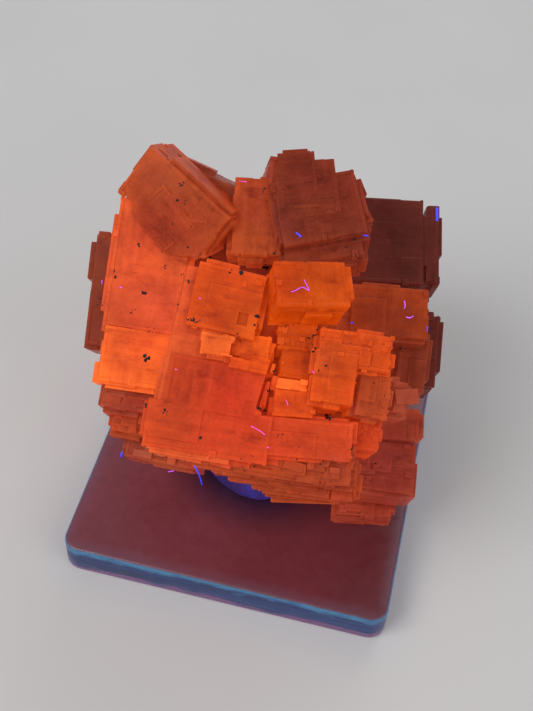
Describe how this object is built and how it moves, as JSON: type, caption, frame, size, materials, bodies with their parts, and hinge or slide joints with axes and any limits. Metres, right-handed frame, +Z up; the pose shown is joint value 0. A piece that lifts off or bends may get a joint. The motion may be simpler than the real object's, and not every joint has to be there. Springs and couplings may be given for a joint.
{
  "type": "halite specimen on display base",
  "caption": "Cluster of intergrown orange halite cubes with stepped edges, held by dark putty on a square clear acrylic base.",
  "frame": {"origin": "middle of the acrylic base's underside", "axes": "+Z up; -Y towards the front edge of the base; +X to the right seen from the front"},
  "size_m": [0.0541, 0.0572, 0.0581],
  "materials": {
    "halite": "see-through orange salt, cleavage faces, fine growth steps",
    "putty": "matte violet-blue putty",
    "acrylic": "satin clear acrylic with a dusky rose glow"
  },
  "bodies": {
    "root": {"halite_cluster": "halite", "mounting_putty": "putty", "acrylic_base": "acrylic"}
  },
  "joints": []
}
